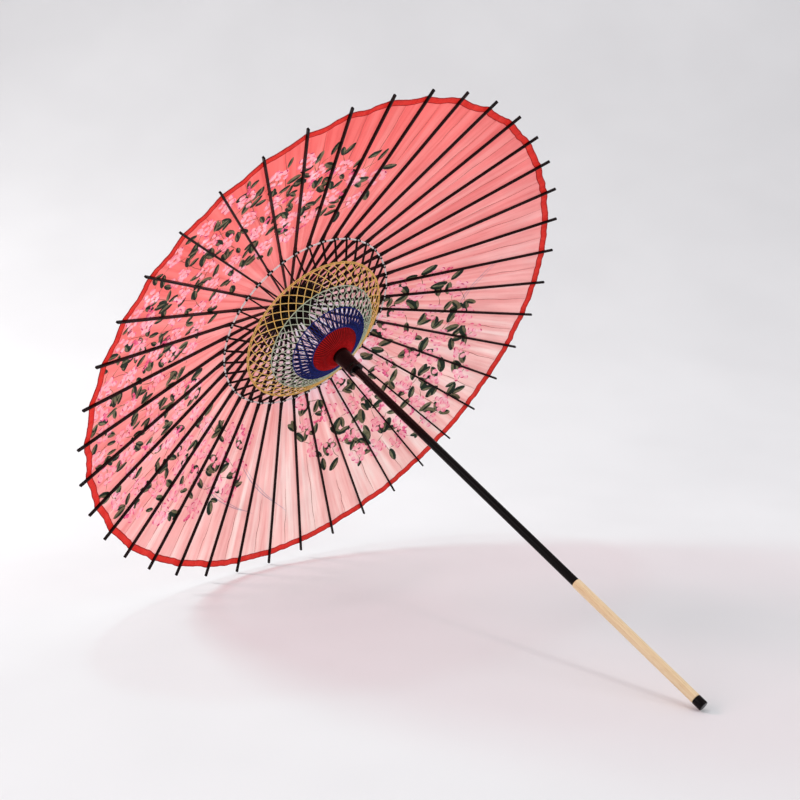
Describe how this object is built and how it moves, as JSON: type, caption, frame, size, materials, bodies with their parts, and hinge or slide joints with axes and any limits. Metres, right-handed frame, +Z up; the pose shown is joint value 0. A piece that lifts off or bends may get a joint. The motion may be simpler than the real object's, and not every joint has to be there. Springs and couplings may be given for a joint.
{
  "type": "oil paper umbrella",
  "caption": "Open oil paper dance umbrella: ribbed conical cover with painted sprays and a red rim, laced struts, sliding runner, black shaft and pale wood grip.",
  "frame": {"origin": "centre of the flat bottom of the end cap, with the umbrella upright and fully open", "axes": "+Z up the shaft towards the head; a rib points along +X and along +Y"},
  "size_m": [0.821, 0.821, 0.8324],
  "materials": {
    "black_lacquer": "glossy black lacquer over turned wood",
    "dark_rib": "very dark maroon lacquer on split bamboo",
    "pale_wood": "bare pale wood, sanded, fine straight grain",
    "cover": "thin translucent coral pink sheet with painted sprays",
    "red_band": "red border strip with a darker hem line",
    "lacing_thread": "matte twisted thread in four coloured zones",
    "white_cord": "white twisted cord",
    "dark_cord": "dark waxed cord",
    "spring_steel": "bright flat spring wire"
  },
  "bodies": {
    "frame": {"shaft": "black_lacquer", "grip": "pale_wood", "end_cap": "black_lacquer", "head_hub": "black_lacquer", "head_cord": "dark_cord", "head_cap": "black_lacquer", "canopy": "cover", "rim_band": "red_band"},
    "runner_body": {"runner": "black_lacquer", "runner_cord": "dark_cord", "lacing": "lacing_thread"},
    "catch_body": {"catch_spring": "spring_steel"},
    "rib_00_body": {"rib_00": "dark_rib"},
    "rib_01_body": {"rib_01": "dark_rib"},
    "rib_02_body": {"rib_02": "dark_rib"},
    "rib_03_body": {"rib_03": "dark_rib"},
    "rib_04_body": {"rib_04": "dark_rib"},
    "rib_05_body": {"rib_05": "dark_rib"},
    "rib_06_body": {"rib_06": "dark_rib"},
    "rib_07_body": {"rib_07": "dark_rib"},
    "rib_08_body": {"rib_08": "dark_rib"},
    "rib_09_body": {"rib_09": "dark_rib"},
    "rib_10_body": {"rib_10": "dark_rib"},
    "rib_11_body": {"rib_11": "dark_rib"},
    "rib_12_body": {"rib_12": "dark_rib"},
    "rib_13_body": {"rib_13": "dark_rib"},
    "rib_14_body": {"rib_14": "dark_rib"},
    "rib_15_body": {"rib_15": "dark_rib"},
    "rib_16_body": {"rib_16": "dark_rib"},
    "rib_17_body": {"rib_17": "dark_rib"},
    "rib_18_body": {"rib_18": "dark_rib"},
    "rib_19_body": {"rib_19": "dark_rib"},
    "rib_20_body": {"rib_20": "dark_rib"},
    "rib_21_body": {"rib_21": "dark_rib"},
    "rib_22_body": {"rib_22": "dark_rib"},
    "rib_23_body": {"rib_23": "dark_rib"},
    "rib_24_body": {"rib_24": "dark_rib"},
    "rib_25_body": {"rib_25": "dark_rib"},
    "rib_26_body": {"rib_26": "dark_rib"},
    "rib_27_body": {"rib_27": "dark_rib"},
    "rib_28_body": {"rib_28": "dark_rib"},
    "rib_29_body": {"rib_29": "dark_rib"},
    "rib_30_body": {"rib_30": "dark_rib"},
    "rib_31_body": {"rib_31": "dark_rib"},
    "rib_32_body": {"rib_32": "dark_rib"},
    "rib_33_body": {"rib_33": "dark_rib"},
    "rib_34_body": {"rib_34": "dark_rib"},
    "rib_35_body": {"rib_35": "dark_rib"},
    "rib_36_body": {"rib_36": "dark_rib"},
    "rib_37_body": {"rib_37": "dark_rib"},
    "rib_38_body": {"rib_38": "dark_rib"},
    "rib_39_body": {"rib_39": "dark_rib"},
    "strut_fan_1_body": {"strut_fan_1": "dark_rib"},
    "strut_fan_2_body": {"strut_fan_2": "dark_rib"},
    "strut_fan_3_body": {"strut_fan_3": "dark_rib"},
    "strut_fan_4_body": {"strut_fan_4": "dark_rib"},
    "strut_fan_5_body": {"strut_fan_5": "dark_rib"},
    "strut_fan_6_body": {"strut_fan_6": "dark_rib"},
    "strut_fan_7_body": {"strut_fan_7": "dark_rib"},
    "strut_fan_8_body": {"strut_fan_8": "dark_rib"}
  },
  "joints": [
    {"name": "runner_slide", "type": "slide", "parent": "frame", "child": "runner_body", "axis": [0, 0, -1], "range_m": [0, 0.1675], "deforming": ["canopy", "rim_band", "lacing", "strut_fan_1", "strut_fan_2", "strut_fan_3", "strut_fan_4", "strut_fan_5", "strut_fan_6", "strut_fan_7", "strut_fan_8"]},
    {"name": "catch_press", "type": "slide", "parent": "frame", "child": "catch_body", "axis": [-0.682, 0.7314, 0], "range_m": [0, 0.003], "stiffness_N_per_m": 400, "deforming": ["catch_spring"]},
    {"name": "rib_00_hinge", "type": "hinge", "parent": "frame", "child": "rib_00_body", "pos_m": [0.0164, 0, 0.8104], "axis": [0, 1, 0], "range_deg": [0, 70.08]},
    {"name": "rib_01_hinge", "type": "hinge", "parent": "frame", "child": "rib_01_body", "pos_m": [0.0162, 0.00257, 0.8104], "axis": [-0.1564, 0.9877, 0], "range_deg": [0, 70.08]},
    {"name": "rib_02_hinge", "type": "hinge", "parent": "frame", "child": "rib_02_body", "pos_m": [0.0156, 0.00507, 0.8104], "axis": [-0.309, 0.9511, 0], "range_deg": [0, 70.08]},
    {"name": "rib_03_hinge", "type": "hinge", "parent": "frame", "child": "rib_03_body", "pos_m": [0.01461, 0.00745, 0.8104], "axis": [-0.454, 0.891, 0], "range_deg": [0, 70.08]},
    {"name": "rib_04_hinge", "type": "hinge", "parent": "frame", "child": "rib_04_body", "pos_m": [0.01327, 0.00964, 0.8104], "axis": [-0.5878, 0.809, 0], "range_deg": [0, 70.08]},
    {"name": "rib_05_hinge", "type": "hinge", "parent": "frame", "child": "rib_05_body", "pos_m": [0.0116, 0.0116, 0.8104], "axis": [-0.7071, 0.7071, 0], "range_deg": [0, 70.08]},
    {"name": "rib_06_hinge", "type": "hinge", "parent": "frame", "child": "rib_06_body", "pos_m": [0.00964, 0.01327, 0.8104], "axis": [-0.809, 0.5878, 0], "range_deg": [0, 70.08]},
    {"name": "rib_07_hinge", "type": "hinge", "parent": "frame", "child": "rib_07_body", "pos_m": [0.00745, 0.01461, 0.8104], "axis": [-0.891, 0.454, 0], "range_deg": [0, 70.08]},
    {"name": "rib_08_hinge", "type": "hinge", "parent": "frame", "child": "rib_08_body", "pos_m": [0.00507, 0.0156, 0.8104], "axis": [-0.9511, 0.309, 0], "range_deg": [0, 70.08]},
    {"name": "rib_09_hinge", "type": "hinge", "parent": "frame", "child": "rib_09_body", "pos_m": [0.00257, 0.0162, 0.8104], "axis": [-0.9877, 0.1564, 0], "range_deg": [0, 70.08]},
    {"name": "rib_10_hinge", "type": "hinge", "parent": "frame", "child": "rib_10_body", "pos_m": [0, 0.0164, 0.8104], "axis": [-1, 0, 0], "range_deg": [0, 70.08]},
    {"name": "rib_11_hinge", "type": "hinge", "parent": "frame", "child": "rib_11_body", "pos_m": [-0.00257, 0.0162, 0.8104], "axis": [-0.9877, -0.1564, 0], "range_deg": [0, 70.08]},
    {"name": "rib_12_hinge", "type": "hinge", "parent": "frame", "child": "rib_12_body", "pos_m": [-0.00507, 0.0156, 0.8104], "axis": [-0.9511, -0.309, 0], "range_deg": [0, 70.08]},
    {"name": "rib_13_hinge", "type": "hinge", "parent": "frame", "child": "rib_13_body", "pos_m": [-0.00745, 0.01461, 0.8104], "axis": [-0.891, -0.454, 0], "range_deg": [0, 70.08]},
    {"name": "rib_14_hinge", "type": "hinge", "parent": "frame", "child": "rib_14_body", "pos_m": [-0.00964, 0.01327, 0.8104], "axis": [-0.809, -0.5878, 0], "range_deg": [0, 70.08]},
    {"name": "rib_15_hinge", "type": "hinge", "parent": "frame", "child": "rib_15_body", "pos_m": [-0.0116, 0.0116, 0.8104], "axis": [-0.7071, -0.7071, 0], "range_deg": [0, 70.08]},
    {"name": "rib_16_hinge", "type": "hinge", "parent": "frame", "child": "rib_16_body", "pos_m": [-0.01327, 0.00964, 0.8104], "axis": [-0.5878, -0.809, 0], "range_deg": [0, 70.08]},
    {"name": "rib_17_hinge", "type": "hinge", "parent": "frame", "child": "rib_17_body", "pos_m": [-0.01461, 0.00745, 0.8104], "axis": [-0.454, -0.891, 0], "range_deg": [0, 70.08]},
    {"name": "rib_18_hinge", "type": "hinge", "parent": "frame", "child": "rib_18_body", "pos_m": [-0.0156, 0.00507, 0.8104], "axis": [-0.309, -0.9511, 0], "range_deg": [0, 70.08]},
    {"name": "rib_19_hinge", "type": "hinge", "parent": "frame", "child": "rib_19_body", "pos_m": [-0.0162, 0.00257, 0.8104], "axis": [-0.1564, -0.9877, 0], "range_deg": [0, 70.08]},
    {"name": "rib_20_hinge", "type": "hinge", "parent": "frame", "child": "rib_20_body", "pos_m": [-0.0164, 0, 0.8104], "axis": [0, -1, 0], "range_deg": [0, 70.08]},
    {"name": "rib_21_hinge", "type": "hinge", "parent": "frame", "child": "rib_21_body", "pos_m": [-0.0162, -0.00257, 0.8104], "axis": [0.1564, -0.9877, 0], "range_deg": [0, 70.08]},
    {"name": "rib_22_hinge", "type": "hinge", "parent": "frame", "child": "rib_22_body", "pos_m": [-0.0156, -0.00507, 0.8104], "axis": [0.309, -0.9511, 0], "range_deg": [0, 70.08]},
    {"name": "rib_23_hinge", "type": "hinge", "parent": "frame", "child": "rib_23_body", "pos_m": [-0.01461, -0.00745, 0.8104], "axis": [0.454, -0.891, 0], "range_deg": [0, 70.08]},
    {"name": "rib_24_hinge", "type": "hinge", "parent": "frame", "child": "rib_24_body", "pos_m": [-0.01327, -0.00964, 0.8104], "axis": [0.5878, -0.809, 0], "range_deg": [0, 70.08]},
    {"name": "rib_25_hinge", "type": "hinge", "parent": "frame", "child": "rib_25_body", "pos_m": [-0.0116, -0.0116, 0.8104], "axis": [0.7071, -0.7071, 0], "range_deg": [0, 70.08]},
    {"name": "rib_26_hinge", "type": "hinge", "parent": "frame", "child": "rib_26_body", "pos_m": [-0.00964, -0.01327, 0.8104], "axis": [0.809, -0.5878, 0], "range_deg": [0, 70.08]},
    {"name": "rib_27_hinge", "type": "hinge", "parent": "frame", "child": "rib_27_body", "pos_m": [-0.00745, -0.01461, 0.8104], "axis": [0.891, -0.454, 0], "range_deg": [0, 70.08]},
    {"name": "rib_28_hinge", "type": "hinge", "parent": "frame", "child": "rib_28_body", "pos_m": [-0.00507, -0.0156, 0.8104], "axis": [0.9511, -0.309, 0], "range_deg": [0, 70.08]},
    {"name": "rib_29_hinge", "type": "hinge", "parent": "frame", "child": "rib_29_body", "pos_m": [-0.00257, -0.0162, 0.8104], "axis": [0.9877, -0.1564, 0], "range_deg": [0, 70.08]},
    {"name": "rib_30_hinge", "type": "hinge", "parent": "frame", "child": "rib_30_body", "pos_m": [0, -0.0164, 0.8104], "axis": [1, 0, 0], "range_deg": [0, 70.08]},
    {"name": "rib_31_hinge", "type": "hinge", "parent": "frame", "child": "rib_31_body", "pos_m": [0.00257, -0.0162, 0.8104], "axis": [0.9877, 0.1564, 0], "range_deg": [0, 70.08]},
    {"name": "rib_32_hinge", "type": "hinge", "parent": "frame", "child": "rib_32_body", "pos_m": [0.00507, -0.0156, 0.8104], "axis": [0.9511, 0.309, 0], "range_deg": [0, 70.08]},
    {"name": "rib_33_hinge", "type": "hinge", "parent": "frame", "child": "rib_33_body", "pos_m": [0.00745, -0.01461, 0.8104], "axis": [0.891, 0.454, 0], "range_deg": [0, 70.08]},
    {"name": "rib_34_hinge", "type": "hinge", "parent": "frame", "child": "rib_34_body", "pos_m": [0.00964, -0.01327, 0.8104], "axis": [0.809, 0.5878, 0], "range_deg": [0, 70.08]},
    {"name": "rib_35_hinge", "type": "hinge", "parent": "frame", "child": "rib_35_body", "pos_m": [0.0116, -0.0116, 0.8104], "axis": [0.7071, 0.7071, 0], "range_deg": [0, 70.08]},
    {"name": "rib_36_hinge", "type": "hinge", "parent": "frame", "child": "rib_36_body", "pos_m": [0.01327, -0.00964, 0.8104], "axis": [0.5878, 0.809, 0], "range_deg": [0, 70.08]},
    {"name": "rib_37_hinge", "type": "hinge", "parent": "frame", "child": "rib_37_body", "pos_m": [0.01461, -0.00745, 0.8104], "axis": [0.454, 0.891, 0], "range_deg": [0, 70.08]},
    {"name": "rib_38_hinge", "type": "hinge", "parent": "frame", "child": "rib_38_body", "pos_m": [0.0156, -0.00507, 0.8104], "axis": [0.309, 0.9511, 0], "range_deg": [0, 70.08]},
    {"name": "rib_39_hinge", "type": "hinge", "parent": "frame", "child": "rib_39_body", "pos_m": [0.0162, -0.00257, 0.8104], "axis": [0.1564, 0.9877, 0], "range_deg": [0, 70.08]},
    {"name": "strut_fan_1_hinge", "type": "hinge", "parent": "runner_body", "child": "strut_fan_1_body", "pos_m": [0.01655, 0.00538, 0.694], "axis": [0.309, -0.9511, 0], "range_deg": [0, 57.19]},
    {"name": "strut_fan_2_hinge", "type": "hinge", "parent": "runner_body", "child": "strut_fan_2_body", "pos_m": [0.0079, 0.0155, 0.694], "axis": [0.891, -0.454, 0], "range_deg": [0, 57.19]},
    {"name": "strut_fan_3_hinge", "type": "hinge", "parent": "runner_body", "child": "strut_fan_3_body", "pos_m": [-0.00538, 0.01655, 0.694], "axis": [0.9511, 0.309, 0], "range_deg": [0, 57.19]},
    {"name": "strut_fan_4_hinge", "type": "hinge", "parent": "runner_body", "child": "strut_fan_4_body", "pos_m": [-0.0155, 0.0079, 0.694], "axis": [0.454, 0.891, 0], "range_deg": [0, 57.19]},
    {"name": "strut_fan_5_hinge", "type": "hinge", "parent": "runner_body", "child": "strut_fan_5_body", "pos_m": [-0.01655, -0.00538, 0.694], "axis": [-0.309, 0.9511, 0], "range_deg": [0, 57.19]},
    {"name": "strut_fan_6_hinge", "type": "hinge", "parent": "runner_body", "child": "strut_fan_6_body", "pos_m": [-0.0079, -0.0155, 0.694], "axis": [-0.891, 0.454, 0], "range_deg": [0, 57.19]},
    {"name": "strut_fan_7_hinge", "type": "hinge", "parent": "runner_body", "child": "strut_fan_7_body", "pos_m": [0.00538, -0.01655, 0.694], "axis": [-0.9511, -0.309, 0], "range_deg": [0, 57.19]},
    {"name": "strut_fan_8_hinge", "type": "hinge", "parent": "runner_body", "child": "strut_fan_8_body", "pos_m": [0.0155, -0.0079, 0.694], "axis": [-0.454, -0.891, 0], "range_deg": [0, 57.19]}
  ],
  "couplings": [
    {"joint": "rib_00_hinge", "follows": "runner_slide", "rad_per_m": 7.2966},
    {"joint": "rib_01_hinge", "follows": "runner_slide", "rad_per_m": 7.2966},
    {"joint": "rib_02_hinge", "follows": "runner_slide", "rad_per_m": 7.2966},
    {"joint": "rib_03_hinge", "follows": "runner_slide", "rad_per_m": 7.2966},
    {"joint": "rib_04_hinge", "follows": "runner_slide", "rad_per_m": 7.2966},
    {"joint": "rib_05_hinge", "follows": "runner_slide", "rad_per_m": 7.2966},
    {"joint": "rib_06_hinge", "follows": "runner_slide", "rad_per_m": 7.2966},
    {"joint": "rib_07_hinge", "follows": "runner_slide", "rad_per_m": 7.2966},
    {"joint": "rib_08_hinge", "follows": "runner_slide", "rad_per_m": 7.2966},
    {"joint": "rib_09_hinge", "follows": "runner_slide", "rad_per_m": 7.2966},
    {"joint": "rib_10_hinge", "follows": "runner_slide", "rad_per_m": 7.2966},
    {"joint": "rib_11_hinge", "follows": "runner_slide", "rad_per_m": 7.2966},
    {"joint": "rib_12_hinge", "follows": "runner_slide", "rad_per_m": 7.2966},
    {"joint": "rib_13_hinge", "follows": "runner_slide", "rad_per_m": 7.2966},
    {"joint": "rib_14_hinge", "follows": "runner_slide", "rad_per_m": 7.2966},
    {"joint": "rib_15_hinge", "follows": "runner_slide", "rad_per_m": 7.2966},
    {"joint": "rib_16_hinge", "follows": "runner_slide", "rad_per_m": 7.2966},
    {"joint": "rib_17_hinge", "follows": "runner_slide", "rad_per_m": 7.2966},
    {"joint": "rib_18_hinge", "follows": "runner_slide", "rad_per_m": 7.2966},
    {"joint": "rib_19_hinge", "follows": "runner_slide", "rad_per_m": 7.2966},
    {"joint": "rib_20_hinge", "follows": "runner_slide", "rad_per_m": 7.2966},
    {"joint": "rib_21_hinge", "follows": "runner_slide", "rad_per_m": 7.2966},
    {"joint": "rib_22_hinge", "follows": "runner_slide", "rad_per_m": 7.2966},
    {"joint": "rib_23_hinge", "follows": "runner_slide", "rad_per_m": 7.2966},
    {"joint": "rib_24_hinge", "follows": "runner_slide", "rad_per_m": 7.2966},
    {"joint": "rib_25_hinge", "follows": "runner_slide", "rad_per_m": 7.2966},
    {"joint": "rib_26_hinge", "follows": "runner_slide", "rad_per_m": 7.2966},
    {"joint": "rib_27_hinge", "follows": "runner_slide", "rad_per_m": 7.2966},
    {"joint": "rib_28_hinge", "follows": "runner_slide", "rad_per_m": 7.2966},
    {"joint": "rib_29_hinge", "follows": "runner_slide", "rad_per_m": 7.2966},
    {"joint": "rib_30_hinge", "follows": "runner_slide", "rad_per_m": 7.2966},
    {"joint": "rib_31_hinge", "follows": "runner_slide", "rad_per_m": 7.2966},
    {"joint": "rib_32_hinge", "follows": "runner_slide", "rad_per_m": 7.2966},
    {"joint": "rib_33_hinge", "follows": "runner_slide", "rad_per_m": 7.2966},
    {"joint": "rib_34_hinge", "follows": "runner_slide", "rad_per_m": 7.2966},
    {"joint": "rib_35_hinge", "follows": "runner_slide", "rad_per_m": 7.2966},
    {"joint": "rib_36_hinge", "follows": "runner_slide", "rad_per_m": 7.2966},
    {"joint": "rib_37_hinge", "follows": "runner_slide", "rad_per_m": 7.2966},
    {"joint": "rib_38_hinge", "follows": "runner_slide", "rad_per_m": 7.2966},
    {"joint": "rib_39_hinge", "follows": "runner_slide", "rad_per_m": 7.2966},
    {"joint": "strut_fan_1_hinge", "follows": "runner_slide", "rad_per_m": 5.9543},
    {"joint": "strut_fan_2_hinge", "follows": "runner_slide", "rad_per_m": 5.9543},
    {"joint": "strut_fan_3_hinge", "follows": "runner_slide", "rad_per_m": 5.9543},
    {"joint": "strut_fan_4_hinge", "follows": "runner_slide", "rad_per_m": 5.9543},
    {"joint": "strut_fan_5_hinge", "follows": "runner_slide", "rad_per_m": 5.9543},
    {"joint": "strut_fan_6_hinge", "follows": "runner_slide", "rad_per_m": 5.9543},
    {"joint": "strut_fan_7_hinge", "follows": "runner_slide", "rad_per_m": 5.9543},
    {"joint": "strut_fan_8_hinge", "follows": "runner_slide", "rad_per_m": 5.9543}
  ]
}
